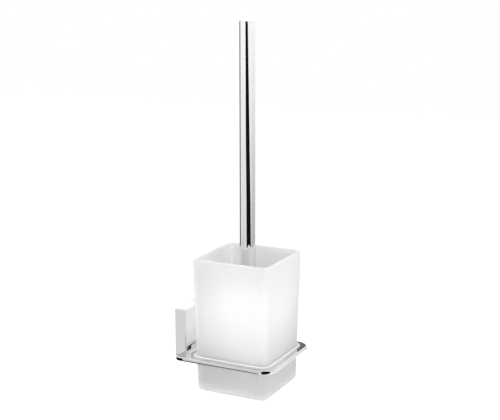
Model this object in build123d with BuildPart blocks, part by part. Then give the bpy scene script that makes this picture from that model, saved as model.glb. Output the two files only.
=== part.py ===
"""Wall-mounted toilet brush set: a chromed bracket, a square satin glass tumbler and a brush that stands in it.

Origin: the wall plane, at the middle of the wall plate's back face.
+Z is up, -Y points out of the wall into the room, and X runs along the wall. Millimetres.
"""

import os
from math import cos, radians, sin, sqrt

from build123d import *

# Wall cover and its fixing plate
cover_width = 50.0
cover_height = 50.0
cover_depth = 13.0
cover_wall = 2.5
cover_corner = 1.5
cover_edge = 1.0
mouth_side = 1.0
plate_width = 40.0
plate_thickness = 2.0
plate_lip = 6.0
plate_bend = 3.0
plate_floor_gap = 1.2
wall_hole_diameter = 4.5
wall_hole_spacing = 24.0
wall_hole_height = 4.0
grub_diameter = 4.0
grub_recess = 0.5
grub_from_wall = 4.0
grub_socket = 2.0
grub_socket_depth = 1.8

# Ring plate with its neck
ring_thickness = 4.2
ring_above_floor = 1.8
ring_bar = 8.0
ring_apron = 16.0
ring_front_radius = 14.0
ring_back_radius = 4.0
ring_edge = 1.2
ring_under_edge = 0.8
neck_width = 34.0
neck_rise = 1.8
neck_proud = 1.0
neck_end = 0.5
neck_edge = 1.0
mouth_gap = 0.5
ring_screw_diameter = 3.5
ring_screw_head = 6.6
ring_screw_length = 9.0
ring_screw_spacing = 22.0
ring_screw_inset = 3.4
screw_gap = 0.1

# Liner between metal and glass
liner_wall = 1.2
liner_lip = 1.3
liner_lip_height = 1.0
liner_corner_relief = 1.2

# Glass tumbler
tumbler_top = 84.0
tumbler_base = 78.0
tumbler_height = 137.0
tumbler_corner = 7.5
tumbler_wall = 3.5
tumbler_floor = 8.0
tumbler_base_edge = 5.0
tumbler_inner_corner = 5.0
tumbler_inner_edge = 4.0
tumbler_rim_edge = 1.2
tumbler_kick_inset = 11.0
tumbler_kick_depth = 1.2
rim_above_ring = 100.5

# Handle
handle_diameter = 16.0
handle_wall = 1.2
handle_length = 260.0
plug_head = 2.0
plug_depth = 12.0
plug_edge = 0.5
spigot_depth = 16.0
spigot_shoulder = 2.0
spigot_pin_diameter = 8.0
spigot_pin_length = 16.0
seal_thickness = 1.0
push_gap = 0.05

# Brush head
core_radius = 11.0
core_sides = 22
core_neck_height = 16.0
core_collar = 4.0
spindle_diameter = 14.0
slice_height = 31.0
end_slice_height = 4.0
slice_rows = 7
head_radius = 32.5
head_round = 16.0
end_length = 12.0
end_inner_radius = 3.6
end_inner_count = 6
end_outer_radius = 7.4
end_outer_count = 12
end_tilt_degrees = 32.0
strand = 1.4
strand_root = 1.0
strand_tip_gap = 0.4

# Heights and places worked out from the sizes above
cover_floor = -cover_height / 2 + cover_wall
cover_front = -cover_depth
ring_bottom = cover_floor + ring_above_floor
ring_top = ring_bottom + ring_thickness
neck_top = ring_top + neck_rise
liner_top = ring_top + liner_lip_height
rim_z = ring_top + rim_above_ring
tumbler_bottom = rim_z - tumbler_height
glass_floor = tumbler_bottom + tumbler_floor


glass_taper = (tumbler_top - tumbler_base) / 2 / tumbler_height


def glass_spread(z):
    """How far each side of the tumbler has spread outwards at height z, compared with its base."""
    return glass_taper * (z - tumbler_bottom)


def tumbler_width(z):
    """Outer width of the tapered tumbler at height z."""
    return tumbler_base + 2 * glass_spread(z)


ring_hole = tumbler_width(liner_top) + 2 * liner_wall
ring_hole_corner = tumbler_corner + liner_wall
ring_width = ring_hole + 2 * ring_bar
tumbler_y = cover_front - ring_apron - ring_hole / 2
ring_front = tumbler_y - ring_width / 2
tumbler_axis = Plane((0, tumbler_y, 0))

lip_front = -plate_lip
neck_back = lip_front - neck_end
ring_screw_y = cover_front + ring_screw_inset
grub_y = -grub_from_wall

core_end = glass_floor + end_length
lower_slice = core_end + end_slice_height
upper_slice = lower_slice + slice_height
core_shoulder = upper_slice + slice_height
core_top = core_shoulder + core_neck_height
seal_top = core_top + seal_thickness
tube_bottom = seal_top + spigot_shoulder
tube_top = tube_bottom + handle_length
tube_bore = handle_diameter - 2 * handle_wall

os.makedirs("parts", exist_ok=True)

# Wall plate: strip steel bent to a shallow U, with its back on the wall and two holes for wall screws
plate_top = cover_height / 2 - cover_wall
plate_bottom = cover_floor + plate_floor_gap
with BuildPart() as wall_plate:
    with BuildSketch(Plane.YZ):
        with BuildLine():
            FilletPolyline(
                (lip_front, plate_top),
                (0, plate_top),
                (0, plate_bottom),
                (lip_front, plate_bottom),
                radius=plate_bend,
            )
            offset(amount=plate_thickness, side=Side.RIGHT)
        make_face()
    extrude(amount=plate_width / 2, both=True)
    with BuildSketch(Plane.XZ):
        with Locations((0, wall_hole_height)):
            with GridLocations(wall_hole_spacing, 0, 2, 1):
                Circle(wall_hole_diameter / 2)
    extrude(amount=plate_thickness, mode=Mode.SUBTRACT)
wall_plate.part.label = "wall_plate"
export_step(wall_plate.part, "parts/wall_plate.step")

# Wall cover: a square cap, open to the wall, with a mouth in its front for the neck of the ring
mouth_width = cover_width - 2 * mouth_side
mouth_height = neck_top + mouth_gap - cover_floor
with BuildPart() as wall_cover:
    with BuildSketch(Plane.XZ):
        RectangleRounded(cover_width, cover_height, cover_corner)
    extrude(amount=cover_depth)
    fillet(wall_cover.faces().sort_by(Axis.Y)[0].edges(), cover_edge)
    with BuildSketch(Plane.XZ):
        Rectangle(cover_width - 2 * cover_wall, cover_height - 2 * cover_wall)
    extrude(amount=cover_depth - cover_wall, mode=Mode.SUBTRACT)
    with BuildSketch(Plane.XZ.offset(cover_depth - cover_wall)):
        with Locations((0, cover_floor)):
            Rectangle(mouth_width, mouth_height, align=(Align.CENTER, Align.MIN))
    extrude(amount=cover_wall, mode=Mode.SUBTRACT)
    floor_plane = Plane((0, ring_screw_y, -cover_height / 2), x_dir=(1, 0, 0), z_dir=(0, 0, -1))
    with Locations(floor_plane):
        with GridLocations(ring_screw_spacing, 0, 2, 1):
            CounterSinkHole(
                ring_screw_diameter / 2 + screw_gap,
                ring_screw_head / 2 + screw_gap,
                depth=cover_wall,
                counter_sink_angle=90,
            )
    with Locations(Plane((0, grub_y, -cover_height / 2), x_dir=(1, 0, 0), z_dir=(0, 0, -1))):
        Hole(grub_diameter / 2 + screw_gap, depth=cover_wall)
wall_cover.part.label = "wall_cover"
export_step(wall_cover.part, "parts/wall_cover.step")

# Grub screw: a headless socket screw through the cover's floor, with its point on the plate's lower lip
grub_bottom = -cover_height / 2 + grub_recess
with BuildPart() as cover_grub_screw:
    with BuildSketch(Plane((0, grub_y, grub_bottom))):
        Circle(grub_diameter / 2)
    extrude(amount=plate_bottom - grub_bottom)
    with BuildSketch(Plane((0, grub_y, grub_bottom))):
        RegularPolygon(grub_socket / 2, 6, major_radius=False)
    extrude(amount=grub_socket_depth, mode=Mode.SUBTRACT)
cover_grub_screw.part.label = "cover_grub_screw"
export_step(cover_grub_screw.part, "parts/cover_grub_screw.step")

# Holder ring: a rounded plate round a square hole, with a raised neck that plugs into the cover's mouth
with BuildPart() as holder_ring:
    with BuildSketch(Plane.XY.offset(ring_bottom)) as ring_outline:
        with Locations((0, ring_front)):
            Rectangle(ring_width, cover_front - ring_front, align=(Align.CENTER, Align.MIN))
        fillet(ring_outline.vertices().group_by(Axis.Y)[0], ring_front_radius)
        fillet(ring_outline.vertices().group_by(Axis.Y)[-1], ring_back_radius)
    extrude(amount=ring_thickness)
    fillet(holder_ring.faces().sort_by(Axis.Z)[-1].edges(), ring_edge)
    chamfer(holder_ring.faces().sort_by(Axis.Z)[0].edges(), ring_under_edge)
    with BuildSketch(Plane.XY.offset(ring_bottom)):
        with Locations((0, tumbler_y)):
            RectangleRounded(ring_hole, ring_hole, ring_hole_corner)
    extrude(amount=ring_thickness, mode=Mode.SUBTRACT)
    with BuildSketch(Plane.YZ) as neck_side:
        neck_front = cover_front - neck_proud
        with Locations((neck_front, cover_floor)):
            Rectangle(neck_back - neck_front, neck_top - cover_floor, align=Align.MIN)
        fillet(neck_side.vertices().group_by(Axis.X)[0].sort_by(Axis.Y)[-1], neck_edge)
    extrude(amount=neck_width / 2, both=True)
    with Locations(Plane((0, ring_screw_y, cover_floor), x_dir=(1, 0, 0), z_dir=(0, 0, -1))):
        with GridLocations(ring_screw_spacing, 0, 2, 1):
            Hole(ring_screw_diameter / 2, depth=ring_screw_length - cover_wall)
holder_ring.part.label = "holder_ring"
export_step(holder_ring.part, "parts/holder_ring.step")

# Ring screws: two countersunk screws, up through the cover's floor into the neck
screw_cone = (ring_screw_head - ring_screw_diameter) / 2
with BuildPart() as ring_screws:
    with BuildSketch(Plane.XZ) as screw_profile:
        with BuildLine():
            Polyline(
                (0, 0),
                (ring_screw_head / 2, 0),
                (ring_screw_diameter / 2, screw_cone),
                (ring_screw_diameter / 2, ring_screw_length),
                (0, ring_screw_length),
                close=True,
            )
        make_face()
    screw = revolve(axis=Axis.Z, mode=Mode.PRIVATE)
    with Locations((0, ring_screw_y, -cover_height / 2)):
        with GridLocations(ring_screw_spacing, 0, 2, 1):
            add(screw)
ring_screws.part.label = "ring_screws"
export_step(ring_screws.part, "parts/ring_screws.step")


def glass_taper_block(bottom, top, corner, inset=0.0):
    """A square block on the tumbler's axis with the taper of the glass, and with its sides moved in by inset."""
    low = tumbler_width(bottom) / 2 - inset
    high = tumbler_width(top) / 2 - inset
    with BuildPart() as taper_block:
        for side, mode in ((Plane.XZ, Mode.ADD), (Plane.YZ, Mode.INTERSECT)):
            with BuildSketch(Plane(tumbler_axis.origin, x_dir=side.x_dir, z_dir=side.z_dir)):
                Polygon((-low, bottom), (low, bottom), (high, top), (-high, top), align=None)
            extrude(amount=high, both=True, mode=mode)
        fillet(taper_block.edges().group_by(Axis.Z)[1], corner)
    return taper_block.part


# Ring liner: a moulded sleeve with a lip on the ring, tapered inside so that the glass wedges in it
glass_seat = glass_taper_block(ring_bottom, liner_top, tumbler_corner - liner_corner_relief)
with BuildPart() as ring_liner:
    with BuildSketch(tumbler_axis.offset(ring_bottom)):
        RectangleRounded(ring_hole, ring_hole, ring_hole_corner)
    extrude(amount=liner_top - ring_bottom)
    with BuildSketch(tumbler_axis.offset(ring_top)):
        RectangleRounded(ring_hole + 2 * liner_lip, ring_hole + 2 * liner_lip, ring_hole_corner + liner_lip)
    extrude(amount=liner_lip_height)
    add(glass_seat, mode=Mode.SUBTRACT)
ring_liner.part.label = "ring_liner"
export_step(ring_liner.part, "parts/ring_liner.step")

# Tumbler: pressed glass with a slow taper, a thick floor, a soft base edge and a shallow kick under the base
kick_width = tumbler_base - 2 * tumbler_kick_inset
glass_blank = glass_taper_block(tumbler_bottom, rim_z, tumbler_corner)
glass_well = glass_taper_block(glass_floor, rim_z, tumbler_inner_corner, inset=tumbler_wall)
with BuildPart() as tumbler:
    add(glass_blank)
    fillet(tumbler.faces().sort_by(Axis.Z)[0].edges(), tumbler_base_edge)
    add(glass_well, mode=Mode.SUBTRACT)
    well_floor = tumbler.faces().filter_by(Axis.Z).sort_by(Axis.Z)[1]
    chamfer(well_floor.edges(), tumbler_inner_edge)
    chamfer(tumbler.faces().sort_by(Axis.Z)[-1].edges(), tumbler_rim_edge)
    with BuildSketch(tumbler_axis.offset(tumbler_bottom)):
        RectangleRounded(kick_width, kick_width, tumbler_corner)
    extrude(amount=tumbler_kick_depth, mode=Mode.SUBTRACT)
tumbler.part.label = "tumbler"
export_step(tumbler.part, "parts/tumbler.step")

# Handle tube: a plain drawn tube
with BuildPart() as handle_tube:
    with BuildSketch(tumbler_axis.offset(tube_bottom)):
        Circle(handle_diameter / 2)
        Circle(tube_bore / 2, mode=Mode.SUBTRACT)
    extrude(amount=handle_length)
handle_tube.part.label = "handle_tube"
export_step(handle_tube.part, "parts/handle_tube.step")

# Top plug: a flat disc with a stem pushed into the tube
with BuildPart() as handle_top_plug:
    with BuildSketch(tumbler_axis.offset(tube_top)):
        Circle(handle_diameter / 2)
    extrude(amount=plug_head)
    chamfer(handle_top_plug.faces().sort_by(Axis.Z)[-1].edges(), plug_edge)
    with BuildSketch(tumbler_axis.offset(tube_top - plug_depth)):
        Circle(tube_bore / 2 - push_gap)
    extrude(amount=plug_depth)
handle_top_plug.part.label = "handle_top_plug"
export_step(handle_top_plug.part, "parts/handle_top_plug.step")

# Spigot: a turned plug in the tube's lower end, with a shoulder and the pin that the brush head screws onto
with BuildPart() as handle_spigot:
    with BuildSketch(tumbler_axis.offset(tube_bottom)):
        Circle(tube_bore / 2 - push_gap)
    extrude(amount=spigot_depth)
    with BuildSketch(tumbler_axis.offset(seal_top)):
        Circle(handle_diameter / 2)
    extrude(amount=spigot_shoulder)
    with BuildSketch(tumbler_axis.offset(seal_top - spigot_pin_length)):
        Circle(spigot_pin_diameter / 2)
    extrude(amount=spigot_pin_length)
handle_spigot.part.label = "handle_spigot"
export_step(handle_spigot.part, "parts/handle_spigot.step")

# Seal: a rubber washer that keeps water out of the handle
with BuildPart() as handle_seal:
    with BuildSketch(tumbler_axis.offset(core_top)):
        Circle(handle_diameter / 2)
        Circle(spigot_pin_diameter / 2 + push_gap, mode=Mode.SUBTRACT)
    extrude(amount=seal_thickness)
handle_seal.part.label = "handle_seal"
export_step(handle_seal.part, "parts/handle_seal.step")

# Brush core: a moulded spindle with a flared neck, bored for the handle's pin
with BuildPart() as brush_core:
    with BuildSketch(tumbler_axis.offset(lower_slice)):
        Circle(spindle_diameter / 2)
    extrude(amount=core_shoulder - lower_slice)
    with BuildSketch(Plane((0, tumbler_y, 0), x_dir=(1, 0, 0), z_dir=(0, -1, 0))):
        with BuildLine():
            Polyline(
                (0, core_shoulder),
                (core_radius, core_shoulder),
                (core_radius, core_shoulder + core_collar),
                (handle_diameter / 2, core_top),
                (0, core_top),
                close=True,
            )
        make_face()
    revolve(axis=Axis((0, tumbler_y, 0), (0, 0, 1)))
    with BuildSketch(tumbler_axis.offset(core_top)):
        Circle(spigot_pin_diameter / 2 + push_gap)
    extrude(amount=-spigot_pin_length, mode=Mode.SUBTRACT)
brush_core.part.label = "brush_core"
export_step(brush_core.part, "parts/brush_core.step")


def head_reach(z):
    """Radius of the brush head at height z: straight above, rounded off towards its lower end."""
    drop = max(0.0, core_end - strand + head_round - z)
    return head_radius - head_round + sqrt(head_round**2 - min(drop, head_round) ** 2)


def three_sided_strands(length, rotation=(0, 0, 0)):
    """A three-sided strand along Z, or along the axis that Z is turned to, at each place in use."""
    return Wedge(
        strand,
        strand,
        length,
        strand / 2,
        0,
        strand / 2,
        length,
        rotation=rotation,
        align=(Align.CENTER, Align.CENTER, Align.MIN),
        mode=Mode.PRIVATE,
    )


def side_strands(bottom):
    """Rows of strands that stand out of the flats of one core slice, every second column half a row higher."""
    pitch = slice_height / (slice_rows + 0.5)
    root = core_radius - strand_root
    strands = []
    for row in range(slice_rows):
        for shift in range(2):
            z = bottom + pitch * (row + 0.5 + shift / 2)
            with Locations(Location((0, tumbler_y, z))):
                with PolarLocations(root, core_sides // 2, start_angle=shift * 360 / core_sides):
                    strands.append(three_sided_strands(head_reach(z) - root, rotation=(0, 90, 0)))
    return strands


def core_slice(bottom, height, bore):
    """A short length of the core, with one flat for each column of strands."""
    with BuildSketch(tumbler_axis.offset(bottom)) as section:
        RegularPolygon(core_radius, core_sides, major_radius=False, rotation=180 / core_sides)
        if bore:
            Circle(bore / 2, mode=Mode.SUBTRACT)
    extrude(section.sketch, amount=height)


# Bristles on the sides of the head, on two slices of the core
for name, bottom in (("bristles_lower", lower_slice), ("bristles_upper", upper_slice)):
    with BuildPart() as bristles:
        core_slice(bottom, slice_height, spindle_diameter + 2 * push_gap)
        add(side_strands(bottom))
    bristles.part.label = name
    export_step(bristles.part, f"parts/{name}.step")

# Bristles under the head, on the end slice: those in the middle stand on the floor of the tumbler
end_tilt = radians(end_tilt_degrees)
tilted_length = (end_length - strand_tip_gap - strand / 2 * sin(end_tilt)) / cos(end_tilt)
end_rings = (
    (0.0, 1, 0.0, end_length),
    (end_inner_radius, end_inner_count, 0.0, end_length),
    (end_outer_radius, end_outer_count, end_tilt_degrees, tilted_length),
)
with BuildPart() as bristles_end:
    core_slice(core_end, end_slice_height, 0)
    end_strands = []
    for ring_radius, count, tilt, length in end_rings:
        with Locations(Location((0, tumbler_y, core_end))):
            with PolarLocations(ring_radius, count):
                with Locations(Location((0, 0, 0), (0, -tilt, 0))):
                    with Locations((0, 0, -length)):
                        end_strands.append(three_sided_strands(length + strand_root))
    add(end_strands)
bristles_end.part.label = "bristles_end"
export_step(bristles_end.part, "parts/bristles_end.step")
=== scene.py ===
import math
import random

import bmesh
import bpy
from mathutils import Matrix, Vector


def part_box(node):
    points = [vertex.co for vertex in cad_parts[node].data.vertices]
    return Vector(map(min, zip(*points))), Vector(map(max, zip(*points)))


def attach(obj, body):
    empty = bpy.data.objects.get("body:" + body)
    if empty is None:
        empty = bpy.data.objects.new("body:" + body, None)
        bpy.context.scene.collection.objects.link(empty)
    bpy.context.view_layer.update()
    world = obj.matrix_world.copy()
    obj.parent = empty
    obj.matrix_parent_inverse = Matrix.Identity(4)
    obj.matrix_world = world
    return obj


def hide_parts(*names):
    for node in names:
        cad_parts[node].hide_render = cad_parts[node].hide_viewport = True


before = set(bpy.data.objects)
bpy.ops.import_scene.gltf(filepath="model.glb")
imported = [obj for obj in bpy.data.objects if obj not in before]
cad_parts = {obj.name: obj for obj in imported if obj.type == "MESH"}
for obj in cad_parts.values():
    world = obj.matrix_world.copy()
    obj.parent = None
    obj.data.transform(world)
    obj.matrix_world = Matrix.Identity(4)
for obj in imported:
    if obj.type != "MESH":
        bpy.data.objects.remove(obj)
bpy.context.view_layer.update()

# Wall plate: strip steel pressed to a shallow U and zinc plated, screwed flat to the wall.
# The cover hangs over it, so only its back and its edges show, from behind.
zinc_light = (0.60, 0.62, 0.64, 1)
zinc_dark = (0.44, 0.46, 0.49, 1)


def worn_surface_group():
    """Shader group of fine grain and soft marks of use: a roughness, a tone and a bump height."""
    group = bpy.data.node_groups.new("worn surface", "ShaderNodeTree")
    new_socket = group.interface.new_socket
    new_socket("Vector", in_out="INPUT", socket_type="NodeSocketVector")
    for name in ("Grain Scale", "Mark Scale", "Smooth", "Rough"):
        new_socket(name, in_out="INPUT", socket_type="NodeSocketFloat")
    for name in ("Roughness", "Tone", "Height"):
        new_socket(name, in_out="OUTPUT", socket_type="NodeSocketFloat")
    nodes, links = group.nodes, group.links
    inward = nodes.new("NodeGroupInput")
    outward = nodes.new("NodeGroupOutput")
    grain = nodes.new("ShaderNodeTexNoise")
    grain.inputs["Detail"].default_value = 2.0
    marks = nodes.new("ShaderNodeTexNoise")
    marks.inputs["Detail"].default_value = 6.0
    marks.inputs["Roughness"].default_value = 0.62
    spread = nodes.new("ShaderNodeMapRange")
    spread.inputs["From Min"].default_value = 0.35
    spread.inputs["From Max"].default_value = 0.68
    roughness = nodes.new("ShaderNodeMapRange")
    links.new(inward.outputs["Vector"], grain.inputs["Vector"])
    links.new(inward.outputs["Grain Scale"], grain.inputs["Scale"])
    links.new(inward.outputs["Vector"], marks.inputs["Vector"])
    links.new(inward.outputs["Mark Scale"], marks.inputs["Scale"])
    links.new(marks.outputs["Fac"], spread.inputs["Value"])
    links.new(spread.outputs["Result"], roughness.inputs["Value"])
    links.new(inward.outputs["Smooth"], roughness.inputs["To Min"])
    links.new(inward.outputs["Rough"], roughness.inputs["To Max"])
    links.new(roughness.outputs["Result"], outward.inputs["Roughness"])
    links.new(spread.outputs["Result"], outward.inputs["Tone"])
    links.new(grain.outputs["Fac"], outward.inputs["Height"])
    return group


worn_surface = worn_surface_group()


def finish_material(name, light, dark, smooth, rough, grain_scale, mark_scale, relief):
    """A material whose tone, roughness and relief follow the worn surface, and its shader."""
    material = bpy.data.materials.new(name)
    material.use_nodes = True
    nodes, links = material.node_tree.nodes, material.node_tree.links
    shader = nodes["Principled BSDF"]
    place = nodes.new("ShaderNodeTexCoord")
    worn = nodes.new("ShaderNodeGroup")
    worn.node_tree = worn_surface
    worn.inputs["Grain Scale"].default_value = grain_scale
    worn.inputs["Mark Scale"].default_value = mark_scale
    worn.inputs["Smooth"].default_value = smooth
    worn.inputs["Rough"].default_value = rough
    tone = nodes.new("ShaderNodeValToRGB")
    tone.color_ramp.elements[0].color = light
    tone.color_ramp.elements[1].color = dark
    bump = nodes.new("ShaderNodeBump")
    bump.inputs["Strength"].default_value = relief
    bump.inputs["Distance"].default_value = 0.0002
    links.new(place.outputs["Object"], worn.inputs["Vector"])
    links.new(worn.outputs["Tone"], tone.inputs["Fac"])
    links.new(tone.outputs["Color"], shader.inputs["Base Color"])
    links.new(worn.outputs["Roughness"], shader.inputs["Roughness"])
    links.new(worn.outputs["Height"], bump.inputs["Height"])
    links.new(bump.outputs["Normal"], shader.inputs["Normal"])
    return material, shader


def dress_node(node, material):
    """Gives a CAD node's object its finish."""
    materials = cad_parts[node].data.materials
    materials.clear()
    materials.append(material)


zinc_steel, zinc_shader = finish_material(
    "zinc_steel", zinc_light, zinc_dark,
    smooth=0.30, rough=0.48, grain_scale=900, mark_scale=60, relief=0.12,
)
zinc_shader.inputs["Metallic"].default_value = 1.0
dress_node("wall_plate", zinc_steel)

# Wall cover: a hollow square cap cast in brass, polished and chromed, open to the wall.
# It hangs over the plate. Its front has a mouth for the neck of the ring, and its floor takes the screws
# that hold plate, cover and ring together.
cover_low, cover_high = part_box("wall_cover")
ring_low, ring_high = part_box("holder_ring")
cover_wall = 0.0025
cover_corner = 0.0015
cover_edge = 0.001
mouth_side = 0.001
mouth_gap = 0.0005
cut_margin = 0.002
hole_sides = 48
least_bend = math.radians(20)
sharp_bend = math.radians(32)
same_place = 1e-5
nearly_level = 0.99
chrome_light = (0.80, 0.80, 0.805, 1)
chrome_dark = (0.76, 0.76, 0.77, 1)


def take(piece):
    """Makes a piece the only selected and the active object."""
    bpy.ops.object.select_all(action="DESELECT")
    piece.select_set(True)
    bpy.context.view_layer.objects.active = piece


def block(name, low, high):
    """A box between two corners, with its place in its mesh."""
    low, high = Vector(low), Vector(high)
    bpy.ops.object.select_all(action="DESELECT")
    bpy.ops.mesh.primitive_cube_add(size=1, location=(low + high) / 2)
    piece = bpy.context.object
    piece.name = name
    piece.scale = high - low
    bpy.ops.object.transform_apply(location=True, rotation=True, scale=True)
    return piece


def select_edges(piece, wanted):
    """Edit mode on a piece, with those bent edges selected that satisfy wanted(end, other_end)."""
    take(piece)
    bpy.ops.object.mode_set(mode="EDIT")
    bpy.ops.mesh.select_mode(type="EDGE")
    bpy.ops.mesh.select_all(action="DESELECT")
    mesh = bmesh.from_edit_mesh(piece.data)
    for edge in mesh.edges:
        is_bent = edge.calc_face_angle(0) > least_bend
        edge.select_set(is_bent and wanted(edge.verts[0].co, edge.verts[1].co))
    bmesh.update_edit_mesh(piece.data)


def round_edges(piece, wanted, radius, segments):
    """Rounds the wanted edges of a piece."""
    select_edges(piece, wanted)
    bpy.ops.mesh.bevel(offset=radius, segments=segments, profile=0.5, affect="EDGES")
    bpy.ops.object.mode_set(mode="OBJECT")


def along(axis):
    """A test for edges that run mainly along one axis: 0 for X, 1 for Y, 2 for Z."""
    mainly = 0.9
    return lambda a, b: abs((b - a).normalized()[axis]) > mainly


def lies_at(axis, place):
    """A test for edges that lie in the plane across one axis at a place."""
    return lambda a, b: abs(a[axis] - place) < same_place and abs(b[axis] - place) < same_place


def combine(piece, other, operation):
    """Cuts another piece away from a piece, or unites the two, and removes the other."""
    take(piece)
    modifier = piece.modifiers.new("combine", "BOOLEAN")
    modifier.operation = operation
    modifier.solver = "EXACT"
    modifier.object = other
    bpy.ops.object.modifier_apply(modifier=modifier.name)
    bpy.data.objects.remove(other)


def smooth_surface(piece):
    """Smooth shading with flat faces kept flat, so that polished metal mirrors without ripples."""
    take(piece)
    bpy.ops.object.shade_smooth_by_angle(angle=sharp_bend)
    modifier = piece.modifiers.new("flat faces", "WEIGHTED_NORMAL")
    modifier.keep_sharp = True
    modifier.weight = 100
    bpy.ops.object.modifier_apply(modifier=modifier.name)


def fit_piece(piece, material, slot, body, *nodes):
    """Gives a finished piece its material and the body it rides on, and hides the CAD nodes it stands for.
    The slot argument is not used.
    """
    piece.data.materials.clear()
    piece.data.materials.append(material)
    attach(piece, body)
    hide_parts(*nodes)


chrome, chrome_shader = finish_material(
    "chrome", chrome_light, chrome_dark,
    smooth=0.03, rough=0.075, grain_scale=1400, mark_scale=45, relief=0.0006,
)
chrome_shader.inputs["Metallic"].default_value = 1.0

cover = block("cover_cap", cover_low, cover_high)
round_edges(cover, along(1), cover_corner, segments=5)
round_edges(cover, lies_at(1, cover_low.y), cover_edge, segments=4)
hollow_low = cover_low + Vector((cover_wall, cover_wall, cover_wall))
hollow_high = Vector((cover_high.x - cover_wall, cover_high.y + cut_margin, cover_high.z - cover_wall))
combine(cover, block("hollow", hollow_low, hollow_high), "DIFFERENCE")
mouth_low = Vector((cover_low.x + mouth_side, cover_low.y - cut_margin, hollow_low.z))
mouth_high = Vector((cover_high.x - mouth_side, hollow_low.y, ring_high.z + mouth_gap))
combine(cover, block("mouth", mouth_low, mouth_high), "DIFFERENCE")


def disc(name, centre, bottom, top, bottom_radius, top_radius, sides):
    """A round drum or cone on a vertical axis, with its place in its mesh."""
    bpy.ops.object.select_all(action="DESELECT")
    bpy.ops.mesh.primitive_cone_add(
        vertices=sides,
        radius1=bottom_radius,
        radius2=top_radius,
        depth=top - bottom,
        location=(centre[0], centre[1], (bottom + top) / 2),
    )
    piece = bpy.context.object
    piece.name = name
    bpy.ops.object.transform_apply(location=True, rotation=True, scale=True)
    return piece


def select_faces(piece, wanted):
    """Edit mode on a piece, with those faces selected that satisfy wanted(centre, normal)."""
    take(piece)
    bpy.ops.object.mode_set(mode="EDIT")
    bpy.ops.mesh.select_mode(type="FACE")
    bpy.ops.mesh.select_all(action="DESELECT")
    mesh = bmesh.from_edit_mesh(piece.data)
    for face in mesh.faces:
        face.select_set(wanted(face.calc_center_median(), face.normal))
    bmesh.update_edit_mesh(piece.data)


def extrude_by(rise):
    """Extrudes the selected faces straight up, or down where rise is negative."""
    bpy.ops.mesh.extrude_region_move(TRANSFORM_OT_translate={"value": (0, 0, rise)})


def faces_up(place):
    """A test for flat faces that look up at a height."""
    return lambda centre, normal: normal.z > nearly_level and abs(centre.z - place) < same_place


screws_low, screws_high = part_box("ring_screws")
grub_low, grub_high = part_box("cover_grub_screw")
screw_head_radius = (screws_high.y - screws_low.y) / 2
screw_shank_radius = 0.00175
screw_gap = 0.0001
screw_y = (screws_low.y + screws_high.y) / 2
screw_x = screws_high.x - screw_head_radius


def countersunk_form(name, x, bottom, top, head_radius, shank_radius):
    """The form of a countersunk screw, head down: a cone at 45 degrees that ends in a straight shank."""
    cone_top = bottom + head_radius - shank_radius
    form = disc(name, (x, screw_y), bottom, cone_top, head_radius, shank_radius, hole_sides)
    select_faces(form, faces_up(cone_top))
    extrude_by(top - cone_top)
    bpy.ops.object.mode_set(mode="OBJECT")
    return form


hole_bottom, hole_top = cover_low.z - cut_margin, hollow_low.z + cut_margin
hole_mouth = screw_head_radius + screw_gap + cut_margin
hole_throat = screw_shank_radius + screw_gap
for x in (-screw_x, screw_x):
    screw_hole = countersunk_form("hole", x, hole_bottom, hole_top, hole_mouth, hole_throat)
    combine(cover, screw_hole, "DIFFERENCE")
grub_hole = (grub_high.x - grub_low.x) / 2 + screw_gap
grub_y = (grub_low.y + grub_high.y) / 2
hole = disc("hole", (0, grub_y), hole_bottom, hole_top, grub_hole, grub_hole, hole_sides)
combine(cover, hole, "DIFFERENCE")
smooth_surface(cover)
fit_piece(cover, chrome, "chrome", "bracket", "wall_cover")

# Cover grub screw: a headless socket screw of hardened steel in the cover's floor.
# Its point presses on the plate's lower lip and keeps the cover from lifting off.
screw_light = (0.40, 0.405, 0.41, 1)
screw_dark = (0.28, 0.285, 0.295, 1)
screw_steel, screw_shader = finish_material(
    "screw_steel", screw_light, screw_dark,
    smooth=0.25, rough=0.4, grain_scale=1600, mark_scale=240, relief=0.1,
)
screw_shader.inputs["Metallic"].default_value = 1.0
dress_node("cover_grub_screw", screw_steel)

# Holder ring: a flat frame milled from brass plate, its corners and edges rounded, polished and chromed.
# A raised neck at the back plugs into the cover's mouth and is screwed down inside it.
liner_low, liner_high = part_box("ring_liner")
tumbler_low, tumbler_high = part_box("tumbler")
axis_y = (tumbler_low.y + tumbler_high.y) / 2
liner_lip_height = 0.001
ring_top = liner_high.z - liner_lip_height
ring_bottom = liner_low.z
ring_edge = 0.0012
ring_under_edge = 0.0018
ring_front_radius = 0.014
ring_back_radius = 0.004
ring_bar = 0.008
ring_hole = ring_high.x - ring_bar
ring_hole_corner = 0.0087
neck_width = 0.034
neck_proud = 0.001
neck_front = cover_low.y - neck_proud
neck_edge = 0.0003


def upright_block(name, half_width, bottom, top, corner, segments):
    """A square block on the tumbler's axis, with rounded upright edges."""
    low = (-half_width, axis_y - half_width, bottom)
    piece = block(name, low, (half_width, axis_y + half_width, top))
    round_edges(piece, along(2), corner, segments)
    return piece


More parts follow.
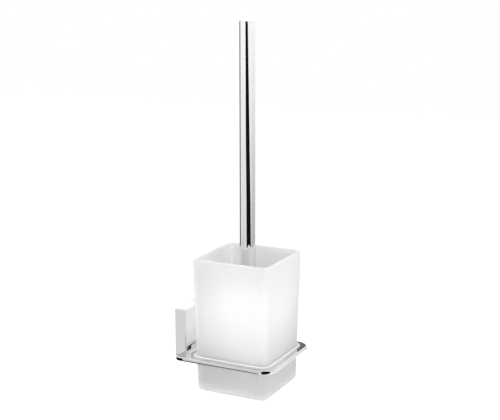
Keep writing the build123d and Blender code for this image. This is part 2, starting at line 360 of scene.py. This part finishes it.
ring = block("ring_plate", (ring_low.x, ring_low.y, ring_bottom), (ring_high.x, cover_low.y, ring_top))
front_half = ring_low.y + ring_front_radius
round_edges(ring, lambda a, b: along(2)(a, b) and a.y < front_half, ring_front_radius, segments=24)
round_edges(ring, lambda a, b: along(2)(a, b) and a.y > front_half, ring_back_radius, segments=16)
round_edges(ring, lies_at(2, ring_bottom), ring_under_edge, segments=8)
round_edges(ring, lies_at(2, ring_top), ring_edge, segments=6)
hole = upright_block(
    "hole", ring_hole, ring_bottom - cut_margin, ring_top + cut_margin, ring_hole_corner, segments=12
)
combine(ring, hole, "DIFFERENCE")
neck = block("neck", (-neck_width / 2, neck_front, ring_low.z), (neck_width / 2, ring_high.y, ring_high.z))
round_edges(
    neck, lambda a, b: lies_at(1, neck_front)(a, b) and lies_at(2, ring_high.z)(a, b), neck_edge, segments=3
)
combine(ring, neck, "UNION")
smooth_surface(ring)
fit_piece(ring, chrome, "chrome", "bracket", "holder_ring")

# Ring screws: two countersunk steel screws with hexagon sockets.
# They go up through the cover's floor and hold the neck of the ring.
socket_radius = 0.00125
socket_depth = 0.0013
socket_sides = 6


def ring_screw(x):
    """One countersunk screw at a place along the wall, head down."""
    head = screws_low.z
    piece = countersunk_form("ring_screw", x, head, screws_high.z, screw_head_radius, screw_shank_radius)
    low, high = head - cut_margin, head + socket_depth
    socket = disc("socket", (x, screw_y), low, high, socket_radius, socket_radius, socket_sides)
    combine(piece, socket, "DIFFERENCE")
    return piece


screws = [ring_screw(-screw_x), ring_screw(screw_x)]
take(screws[0])
screws[1].select_set(True)
bpy.ops.object.join()
ring_screws = bpy.context.object
ring_screws.name = "neck_screws"
smooth_surface(ring_screws)
fit_piece(ring_screws, screw_steel, "screw_steel", "bracket", "ring_screws")

# Ring liner: a moulded sleeve of white plastic that clips into the ring's hole, with a small lip on top.
# It is tapered inside, so that the glass wedges in it without touching metal.
liner_light = (0.86, 0.87, 0.87, 1)
liner_dark = (0.80, 0.81, 0.81, 1)
liner_lip_edge = 0.0004
liner_gap = 0.00012
glass_corner = 0.0075
glass_draft = 0.003
glass_taper = glass_draft / (tumbler_high.z - tumbler_low.z)


def glass_half(z):
    """Half the outer width of the tapered tumbler at height z."""
    return tumbler_high.x - glass_taper * (tumbler_high.z - z)


def tapered_block(name, bottom, top, grow, corner, segments):
    """A square block on the tumbler's axis that widens upwards with the glass, larger all round by grow."""
    half, top_half = glass_half(bottom) + grow, glass_half(top) + grow
    piece = block(name, (-half, axis_y - half, bottom), (half, axis_y + half, top))
    select_edges(piece, lies_at(2, top))
    bpy.ops.transform.resize(value=(top_half / half, top_half / half, 1), center_override=(0, axis_y, top))
    bpy.ops.object.mode_set(mode="OBJECT")
    round_edges(piece, along(2), corner, segments)
    return piece


liner_plastic, liner_shader = finish_material(
    "liner_plastic", liner_light, liner_dark,
    smooth=0.32, rough=0.45, grain_scale=1200, mark_scale=80, relief=0.05,
)
liner_shader.inputs["IOR"].default_value = 1.47
liner = upright_block("liner_lip", liner_high.x, ring_top, liner_high.z, ring_hole_corner, segments=12)
round_edges(liner, lies_at(2, liner_high.z), liner_lip_edge, segments=3)
sleeve_top = ring_top + liner_lip_height / 2
sleeve = upright_block("sleeve", ring_hole, liner_low.z, sleeve_top, ring_hole_corner, segments=12)
combine(liner, sleeve, "UNION")
seat_bottom, seat_top = liner_low.z - cut_margin, liner_high.z + cut_margin
seat = tapered_block("seat", seat_bottom, seat_top, liner_gap, glass_corner, segments=12)
combine(liner, seat, "DIFFERENCE")
smooth_surface(liner)
fit_piece(liner, liner_plastic, "liner_plastic", "bracket", "ring_liner")

# Tumbler: clear glass pressed in a mould, square with a slow taper, then acid etched to a white satin.
# It drops into the liner by its own weight and lifts out for cleaning.
glass_tint = (0.95, 0.958, 0.96, 1)
glass_shade = (0.925, 0.935, 0.94, 1)
glass_depth = 0.014
glass_wall = 0.0035
glass_floor_thickness = 0.008
glass_floor = tumbler_low.z + glass_floor_thickness
glass_base_edge = 0.005
glass_inner_edge = 0.003
glass_rim_edge = 0.0012
kick_inset = 0.011
kick_depth = 0.0012

satin_glass, glass_shader = finish_material(
    "satin_glass", glass_tint, glass_shade,
    smooth=0.50, rough=0.58, grain_scale=2600, mark_scale=28, relief=0.06,
)
glass_shader.inputs["IOR"].default_value = 1.5
glass_shader.inputs["Specular IOR Level"].default_value = 0.25
glass_shader.inputs["Transmission Weight"].default_value = 0.1
glass_shader.inputs["Subsurface Weight"].default_value = 1.0
glass_shader.inputs["Subsurface Radius"].default_value = (1, 1, 1)
glass_shader.inputs["Subsurface Scale"].default_value = glass_depth
glass = tapered_block("satin_tumbler", tumbler_low.z, tumbler_high.z, 0, glass_corner, segments=14)
round_edges(glass, lies_at(2, tumbler_low.z), glass_base_edge, segments=8)
select_faces(glass, faces_up(tumbler_high.z))
bpy.ops.mesh.inset(thickness=glass_wall)
extrude_by(glass_floor - tumbler_high.z)
well_scale = (glass_half(glass_floor) - glass_wall) / (glass_half(tumbler_high.z) - glass_wall)
bpy.ops.transform.resize(value=(well_scale, well_scale, 1), center_override=(0, axis_y, glass_floor))
bpy.ops.object.mode_set(mode="OBJECT")
round_edges(glass, lies_at(2, glass_floor), glass_inner_edge, segments=6)
round_edges(glass, lies_at(2, tumbler_high.z), glass_rim_edge, segments=5)
kick_half = glass_half(tumbler_low.z) - kick_inset
kick_bottom, kick_top = tumbler_low.z - cut_margin, tumbler_low.z + kick_depth
kick = upright_block("kick", kick_half, kick_bottom, kick_top, glass_corner, segments=10)
combine(glass, kick, "DIFFERENCE")
smooth_surface(glass)
fit_piece(glass, satin_glass, "satin_glass", "tumbler", "tumbler")

# Handle tube: a length of drawn brass tube, polished and chromed.
# A plug closes it at the top, and the spigot is soldered into its lower end.
tube_low, tube_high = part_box("handle_tube")
tube_radius = (tube_high.x - tube_low.x) / 2
tube_wall = 0.0012
tube_end_edge = 0.00012
tube_sides = 128
handle_centre = (0, axis_y)

tube = disc("handle_pipe", handle_centre, tube_low.z, tube_high.z, tube_radius, tube_radius, tube_sides)
select_faces(tube, lambda centre, normal: abs(normal.z) > nearly_level)
bpy.ops.mesh.delete(type="FACE")
bpy.ops.object.mode_set(mode="OBJECT")
wall = tube.modifiers.new("wall", "SOLIDIFY")
wall.thickness = tube_wall
wall.offset = -1
bpy.ops.object.modifier_apply(modifier=wall.name)
for end in (tube_low.z, tube_high.z):
    round_edges(tube, lies_at(2, end), tube_end_edge, segments=2)
smooth_surface(tube)
fit_piece(tube, chrome, "chrome", "brush", "handle_tube")

# Handle top plug: a flat cap with a stem, turned from brass.
# Its stem is pushed into the tube's upper end, and both are chromed together.
plug_low, plug_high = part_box("handle_top_plug")
plug_edge = 0.0005
stem_gap = 0.00005
stem_radius = tube_radius - tube_wall - stem_gap


def faces_down(place):
    """A test for flat faces that look down at a height."""
    return lambda centre, normal: normal.z < -nearly_level and abs(centre.z - place) < same_place


plug = disc("handle_cap", handle_centre, tube_high.z, plug_high.z, tube_radius, tube_radius, tube_sides)
round_edges(plug, lies_at(2, plug_high.z), plug_edge, segments=5)
select_faces(plug, faces_down(tube_high.z))
bpy.ops.mesh.inset(thickness=tube_radius - stem_radius)
extrude_by(plug_low.z - tube_high.z)
bpy.ops.object.mode_set(mode="OBJECT")
smooth_surface(plug)
fit_piece(plug, chrome, "chrome", "brush", "handle_top_plug")

# Handle spigot: a plug turned from brass and left bare, soldered into the tube's lower end.
# The pin below its shoulder takes the brush head.
brass_light = (0.78, 0.60, 0.30, 1)
brass_dark = (0.62, 0.45, 0.20, 1)
brass, brass_shader = finish_material(
    "brass", brass_light, brass_dark,
    smooth=0.22, rough=0.38, grain_scale=1500, mark_scale=120, relief=0.08,
)
brass_shader.inputs["Metallic"].default_value = 1.0
dress_node("handle_spigot", brass)

# Handle seal: a washer punched from black rubber sheet.
# It lies between the spigot's shoulder and the brush head, and keeps water out of the thread.
rubber_light = (0.035, 0.035, 0.036, 1)
rubber_dark = (0.02, 0.02, 0.021, 1)
rubber, _ = finish_material(
    "rubber", rubber_light, rubber_dark,
    smooth=0.55, rough=0.72, grain_scale=1800, mark_scale=160, relief=0.2,
)
dress_node("handle_seal", rubber)

# Brush core: a spindle with a shoulder and a flared neck, moulded in white plastic.
# Its neck is screwed onto the spigot's pin, and the slices with the bristles sit on the spindle.
core_low, core_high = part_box("brush_core")
core_light = (0.84, 0.85, 0.85, 1)
core_dark = (0.78, 0.79, 0.79, 1)
core_radius = core_high.x
core_neck_height = 0.016
core_shoulder = core_high.z - core_neck_height
core_collar = 0.004
core_edge = 0.0003
spindle_radius = 0.007
core_sides = 64
neck_steps = 6

core_plastic, core_shader = finish_material(
    "core_plastic", core_light, core_dark,
    smooth=0.34, rough=0.46, grain_scale=1200, mark_scale=90, relief=0.05,
)
core_shader.inputs["IOR"].default_value = 1.47
collar_top = core_shoulder + core_collar
core = disc("core_neck", handle_centre, core_shoulder, collar_top, core_radius, core_radius, core_sides)
select_faces(core, faces_up(collar_top))
flare_height = core_high.z - collar_top
flare_radius = core_radius
for step in range(1, neck_steps + 1):
    share = step / neck_steps
    next_radius = core_radius + (tube_radius - core_radius) * math.sin(share * math.pi / 2)
    extrude_by(flare_height / neck_steps)
    shrink = next_radius / flare_radius
    bpy.ops.transform.resize(value=(shrink, shrink, 1), center_override=(*handle_centre, 0))
    flare_radius = next_radius
bpy.ops.object.mode_set(mode="OBJECT")
round_edges(core, lies_at(2, core_high.z), core_edge, segments=2)
select_faces(core, faces_down(core_shoulder))
bpy.ops.mesh.inset(thickness=core_radius - spindle_radius)
extrude_by(core_low.z - core_shoulder)
bpy.ops.object.mode_set(mode="OBJECT")
smooth_surface(core)
fit_piece(core, core_plastic, "core_plastic", "brush", "brush_core")

# Bristles: tufts of nylon filaments stapled into the core, trimmed to a straight head with a rounded end.
# Each long slice of the core carries its own rows, and the end slice has rings of tufts that point down.
nylon_light = (0.88, 0.89, 0.89, 1)
nylon_dark = (0.78, 0.79, 0.79, 1)
head_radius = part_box("bristles_upper")[1].x
head_round = 0.016
tuft_columns = 24
tuft_rows = 8
row_turn = 0.38
tuft_filaments = 7
tuft_radius = 0.00075
filament_root_radius = 0.00026
filament_tip_radius = 0.00020
filament_sides = 3
least_splay = 0.66
most_splay = 1.32
shortest_trim = 0.985
root_depth = 0.0006
tip_gap = 0.0004
end_slice_height = 0.004
inner_ring_radius, inner_ring_tufts = 0.0036, 6
outer_ring_radius, outer_ring_tufts, outer_ring_tilt = 0.0074, 12, math.radians(32)
random.seed(11)

bristle_nylon, nylon_shader = finish_material(
    "bristle_nylon", nylon_light, nylon_dark,
    smooth=0.30, rough=0.42, grain_scale=700, mark_scale=140, relief=0.05,
)
nylon_shader.inputs["IOR"].default_value = 1.53


def tuft_model(name):
    """One tuft of filaments, one unit long, standing on the origin along +Z and splayed at its tips."""
    middle = 0.5
    filaments = []
    for index in range(tuft_filaments):
        turn = index * 2 * math.pi / (tuft_filaments - 1)
        reach = tuft_radius if index < tuft_filaments - 1 else 0
        bpy.ops.object.select_all(action="DESELECT")
        bpy.ops.mesh.primitive_cone_add(
            vertices=filament_sides,
            radius1=filament_root_radius,
            radius2=filament_tip_radius,
            depth=1,
            location=(0, 0, middle),
        )
        filament = bpy.context.object
        bpy.ops.object.transform_apply(location=True, rotation=True, scale=True)
        for corner in filament.data.vertices:
            splay = random.uniform(least_splay, most_splay) if corner.co.z > middle else 0
            corner.co.x += math.cos(turn) * reach * (1 + splay)
            corner.co.y += math.sin(turn) * reach * (1 + splay)
        filaments.append(filament)
    take(filaments[-1])
    for filament in filaments:
        filament.select_set(True)
    bpy.ops.object.join()
    tuft = bpy.context.object
    tuft.name = name
    return tuft


tuft = tuft_model("tuft")


def plant_tuft(root, direction, length):
    """A copy of the tuft with its own mesh, from a root along a direction, turned at random about itself."""
    copy = tuft.copy()
    copy.data = tuft.data.copy()
    bpy.context.scene.collection.objects.link(copy)
    aim = Vector(direction).to_track_quat("Z", "Y").to_matrix().to_4x4()
    spin = Matrix.Rotation(random.uniform(0, 2 * math.pi), 4, "Z")
    trimmed = Matrix.Diagonal((1, 1, length * random.uniform(shortest_trim, 1), 1))
    copy.data.transform(Matrix.Translation(root) @ aim @ spin @ trimmed)
    return copy


def head_reach(z):
    """Radius of the brush head at height z: straight above, rounded off towards its lower end."""
    drop = max(0.0, end_low.z + head_round - z)
    return head_radius - head_round + math.sqrt(max(0.0, head_round**2 - min(drop, head_round) ** 2))


def slice_of_core(name, bottom, top):
    """A short plain length of the core."""
    return disc(name, handle_centre, bottom, top, core_radius, core_radius, core_sides)


def finish_bristles(backing, tufts, node):
    """Joins tufts to their slice of the core, with the nylon and the core's plastic kept apart."""
    smooth_surface(backing)
    backing.data.materials.append(core_plastic)
    for one in tufts:
        one.data.materials.append(bristle_nylon)
    take(backing)
    for one in tufts:
        one.select_set(True)
    bpy.ops.object.join()
    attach(backing, "brush")
    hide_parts(node)


end_low, end_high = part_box("bristles_end")
end_slice = end_high.z - end_slice_height
for node in ("bristles_lower", "bristles_upper"):
    low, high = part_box(node)
    backing = slice_of_core(node.replace("bristles", "tufts"), low.z, high.z)
    pitch = (high.z - low.z) / (tuft_rows + 0.5)
    tufts = []
    for column in range(tuft_columns):
        for row in range(tuft_rows):
            angle = (column + row * row_turn) * 2 * math.pi / tuft_columns
            outward = Vector((math.cos(angle), math.sin(angle), 0))
            z = low.z + pitch * (row + 0.5 + column % 2 / 2)
            root = Vector((*handle_centre, z)) + outward * (core_radius - root_depth)
            tufts.append(plant_tuft(root, outward, head_reach(z) - core_radius + root_depth - tip_gap))
    finish_bristles(backing, tufts, node)

backing = slice_of_core("tufts_end", end_slice, end_high.z)
end_rings = (
    (0.0, 1, 0.0),
    (inner_ring_radius, inner_ring_tufts, 0.0),
    (outer_ring_radius, outer_ring_tufts, outer_ring_tilt),
)
tufts = []
for radius, count, tilt in end_rings:
    for index in range(count):
        angle = index * 2 * math.pi / count
        outward = Vector((math.cos(angle), math.sin(angle), 0))
        direction = outward * math.sin(tilt) - Vector((0, 0, math.cos(tilt)))
        root = Vector((*handle_centre, end_slice + root_depth)) + outward * radius
        length = (end_slice + root_depth - end_low.z - tip_gap) / math.cos(tilt)
        tufts.append(plant_tuft(root, direction, length))
finish_bristles(backing, tufts, "bristles_end")
bpy.data.objects.remove(tuft)

# Studio: a white room with a pale floor well below the part, lit by soft boxes.
# Screens and boards far off and small cards close by, which only mirrors see, give the chrome its streaks,
# dark corners and pale faces.
floor_height = -0.55
floor_half = 6.0
room_light = 0.87
floor_colour = (0.92, 0.92, 0.92, 1)
floor_roughness = 0.9
floor_glow = 0.40
board_steps = 24
screen_top = 0.26


def seen_or_mirrored(nodes, links):
    """1 for rays from the camera, from a mirror or through glass, and 0 for rays that carry light."""
    path = nodes.new("ShaderNodeLightPath")
    first = nodes.new("ShaderNodeMath")
    first.operation = "MAXIMUM"
    both = nodes.new("ShaderNodeMath")
    both.operation = "MAXIMUM"
    links.new(path.outputs["Is Camera Ray"], first.inputs[0])
    links.new(path.outputs["Is Glossy Ray"], first.inputs[1])
    links.new(first.outputs["Value"], both.inputs[0])
    links.new(path.outputs["Is Transmission Ray"], both.inputs[1])
    return both.outputs["Value"]


world = bpy.data.worlds.new("white room")
world.use_nodes = True
bpy.context.scene.world = world
nodes, links = world.node_tree.nodes, world.node_tree.links
background = nodes["Background"]
background.inputs["Color"].default_value = (1, 1, 1, 1)
strength = nodes.new("ShaderNodeMapRange")
strength.inputs["To Min"].default_value = room_light
strength.inputs["To Max"].default_value = 1.0
links.new(seen_or_mirrored(nodes, links), strength.inputs["Value"])
links.new(strength.outputs["Result"], background.inputs["Strength"])

bpy.ops.object.select_all(action="DESELECT")
bpy.ops.mesh.primitive_plane_add(size=2 * floor_half, location=(0, 0, floor_height))
floor = bpy.context.object
floor.name = "floor"
bpy.ops.object.transform_apply(location=True, rotation=True, scale=True)
paper = bpy.data.materials.new("white_paper")
paper.use_nodes = True
nodes, links = paper.node_tree.nodes, paper.node_tree.links
paper_shader = nodes["Principled BSDF"]
paper_shader.inputs["Base Color"].default_value = floor_colour
paper_shader.inputs["Roughness"].default_value = floor_roughness
paper_shader.inputs["Emission Color"].default_value = (1, 1, 1, 1)
glow = nodes.new("ShaderNodeMath")
glow.operation = "MULTIPLY"
glow.inputs[1].default_value = floor_glow
links.new(seen_or_mirrored(nodes, links), glow.inputs[0])
links.new(glow.outputs["Value"], paper_shader.inputs["Emission Strength"])
floor.data.materials.append(paper)


def show_to_mirrors(board, low, high, low_shade, high_shade):
    """Shows a board to mirrors only, in a shade that runs from low_shade at low to high_shade at high."""
    material = bpy.data.materials.new(board.name)
    material.use_nodes = True
    nodes, links = material.node_tree.nodes, material.node_tree.links
    shader = nodes["Principled BSDF"]
    shader.inputs["Base Color"].default_value = (0, 0, 0, 1)
    shader.inputs["Specular IOR Level"].default_value = 0
    shader.inputs["Emission Color"].default_value = (1, 1, 1, 1)
    place = nodes.new("ShaderNodeTexCoord")
    parts = nodes.new("ShaderNodeSeparateXYZ")
    shade = nodes.new("ShaderNodeMapRange")
    shade.inputs["From Min"].default_value = low
    shade.inputs["From Max"].default_value = high
    shade.inputs["To Min"].default_value = low_shade
    shade.inputs["To Max"].default_value = high_shade
    links.new(place.outputs["Object"], parts.inputs["Vector"])
    links.new(parts.outputs["Z"], shade.inputs["Value"])
    links.new(shade.outputs["Result"], shader.inputs["Emission Strength"])
    board.data.materials.append(material)
    board.visible_camera = False
    board.visible_diffuse = False
    board.visible_transmission = False
    board.visible_shadow = False


def mirror_board(name, distance, low_shade, high_shade, edges):
    """A curved board round the tumbler's axis, given by its level edges from below up.

    An edge is an elevation and two azimuths, in degrees. The shade runs from low_shade at the lowest edge to
    high_shade at screen_top and above.
    """
    bpy.ops.object.select_all(action="DESELECT")
    bpy.ops.mesh.primitive_grid_add(x_subdivisions=board_steps, y_subdivisions=len(edges) - 1, size=1)
    board = bpy.context.object
    board.name = name
    places = [
        (elevation, start + (end - start) * step / board_steps)
        for elevation, start, end in edges
        for step in range(board_steps + 1)
    ]
    for vertex, (elevation, azimuth) in zip(board.data.vertices, places):
        turn, rise = math.radians(azimuth), math.tan(math.radians(elevation))
        direction = Vector((math.cos(turn), math.sin(turn), rise))
        vertex.co = Vector((0, axis_y, tumbler_high.z)) + direction * distance
    show_to_mirrors(board, board.data.vertices[0].co.z, screen_top, low_shade, high_shade)


def even_board(name, distance, shade, low, high, start, end):
    """A board of one shade between two elevations and two azimuths, in degrees."""
    mirror_board(name, distance, shade, shade, [(low, start, end), (high, start, end)])


def mirror_card(name, low, high, low_shade, high_shade, fade_top):
    """A card close to the part, between two corners, whose shade runs up from its lower edge to fade_top."""
    show_to_mirrors(block(name, low, high), low[2], fade_top, low_shade, high_shade)


def even_card(name, low, high, shade):
    """A card of one shade close to the part, between two corners."""
    mirror_card(name, low, high, shade, shade, high[2])


# Pale screens all round, brighter towards the top.
screen_seam = -14
screen_distance = 1.1
even_board("low_screen", screen_distance, shade=0.82, low=-25, high=screen_seam, start=0, end=360)
screen_edges = [(screen_seam, 0, 360), (40, 0, 360)]
mirror_board("round_screen", screen_distance, low_shade=0.84, high_shade=1.2, edges=screen_edges)

# Black boards for the stripe and the outline of the handle, and a grey one for its right side.
board_distance = 1.0
board_bottom, board_top = -27, 36
stripe_edges = [
    (board_bottom, 197, 264),
    (-13, 193, 255),
    (-8, 190.5, 249),
    (-1.5, 182.5, 235.5),
    (12, 178.5, 210),
    (board_top, 178.5, 210),
]
mirror_board("front_board", board_distance, low_shade=0.006, high_shade=0.006, edges=stripe_edges)
even_board("side_board", board_distance, shade=0.02, low=board_bottom, high=board_top, start=60, end=92)
right_edges = [(-16, 265, 345), (20, 265, 345)]
mirror_board("right_board", board_distance, low_shade=0.47, high_shade=1.2, edges=right_edges)

# Low grey boards that part the ring from the white room when it is seen from the right or from behind.
low_distance = 1.05
low_top = -14.5
even_board("low_right_board", low_distance, shade=0.30, low=board_bottom, high=low_top, start=341, end=378)
even_board("low_back_board", low_distance, shade=0.30, low=board_bottom, high=low_top, start=92, end=112)

# Near boards for the ring's right corner, its back, its lower edge and its apron.
even_board("corner_board", 0.41, shade=0.17, low=-5, high=10, start=12, end=26)
even_board("back_board", 0.2, shade=0.03, low=-62, high=-12, start=50, end=130)
even_board("under_board", 0.12, shade=0.005, low=-77, high=-49.4, start=40, end=176)
even_board("apron_board", 0.171, shade=0.65, low=-26, high=-8, start=127, end=147)

# Pale cards in the gap between glass and cover, which the cover's front and the ring's apron mirror.
card_half = 0.030
card_top = cover_high.z + 0.005
card_fade_top = 0.004
card_thickness = 0.0005
white_y = (tumbler_high.y + cover_low.y) / 2
white_low, white_high = (-card_half, white_y, ring_top), (card_half, white_y + card_thickness, card_top)
mirror_card("white_card", white_low, white_high, low_shade=0.80, high_shade=0.99, fade_top=card_fade_top)
grey_y = white_y - 0.0006
grey_low, grey_high = (-card_half, grey_y, ring_high.z), (card_half, grey_y + card_thickness, card_top)
mirror_card("grey_card", grey_low, grey_high, low_shade=0.45, high_shade=0.97, fade_top=card_fade_top)

# Pale cards clear of the part on its left, which keep the black boards off the cover's upright edge.
side_x = -0.0753
side_bottom, side_top = -0.014, 0.045
even_card("side_card", low=(side_x, -0.112, side_bottom), high=(-0.075, -0.022, side_top), shade=0.85)
even_card("rear_card", low=(side_x, -0.1104, side_bottom), high=(-0.0495, -0.1100, side_top), shade=0.85)

# Cards clear of the part for the ring's left corners and its left bar, and one behind the cover.
even_card("front_card", low=(-0.070, -0.137, -0.055), high=(-0.0492, -0.1106, 0.006), shade=0.006)
even_card("corner_card", low=(-0.0603, -0.0155, -0.034), high=(-0.060, 0.006, side_bottom), shade=0.01)
even_card("bar_card", low=(side_x, -0.105, -0.040), high=(-0.075, 0.0065, side_bottom), shade=0.70)
wall_low, wall_high = (-0.042, 0.012, -0.034), (0.042, 0.0125, 0.030)
mirror_card("wall_card", wall_low, wall_high, low_shade=0.55, high_shade=0.95, fade_top=wall_high[2])


def soft_lamp(name, place, aim, size, spread, power):
    """A square soft box that looks at a point with a spread in degrees. Mirrors don't see it."""
    lamp = bpy.data.lights.new(name, "AREA")
    lamp.size = size
    lamp.spread = math.radians(spread)
    lamp.energy = power
    lamp_object = bpy.data.objects.new(name, lamp)
    lamp_object.location = place
    lamp_object.rotation_euler = (Vector(aim) - Vector(place)).to_track_quat("-Z", "Y").to_euler()
    lamp_object.visible_glossy = False
    bpy.context.scene.collection.objects.link(lamp_object)


spot_size = 0.04
spot_spread = 13.5
spot_height = 0.026
left_aim = (tumbler_low.x, axis_y - 0.012, spot_height)
right_aim = (-0.015, tumbler_low.y, spot_height)
glass_middle = (0, axis_y, 0.045)
well_back = (-0.01, tumbler_high.y, 0.066)
soft_lamp("left_spot", (-0.63, -0.03, 0.12), left_aim, spot_size, spot_spread, power=0.0150)
soft_lamp("right_spot", (0.10, -0.70, 0.12), right_aim, spot_size, spot_spread, power=0.0102)
soft_lamp("back_box", (0.3, 0.9, 0.4), glass_middle, size=0.8, spread=180, power=4)
soft_lamp("well_lamp", (-0.15, -0.55, 0.9), well_back, size=0.15, spread=6, power=0.011)

# Camera: a long lens at the photograph's height and side, level across, with everything in focus.
# Its place and angles come from a fit to the straight edges of the tumbler.
camera_place = (-0.94813, -0.54816, 0.35792)
camera_heading = 26.63
camera_pitch = 12.15
camera_lens = 79.12
camera = bpy.data.cameras.new("camera")
camera.lens = camera_lens
camera.sensor_width = 36
camera_object = bpy.data.objects.new("camera", camera)
camera_object.location = camera_place
camera_object.rotation_euler = (math.radians(90 - camera_pitch), 0, math.radians(camera_heading - 90))
bpy.context.scene.collection.objects.link(camera_object)
bpy.context.scene.camera = camera_object
bpy.context.scene.view_settings.view_transform = "Standard"

bpy.ops.object.select_all(action="DESELECT")
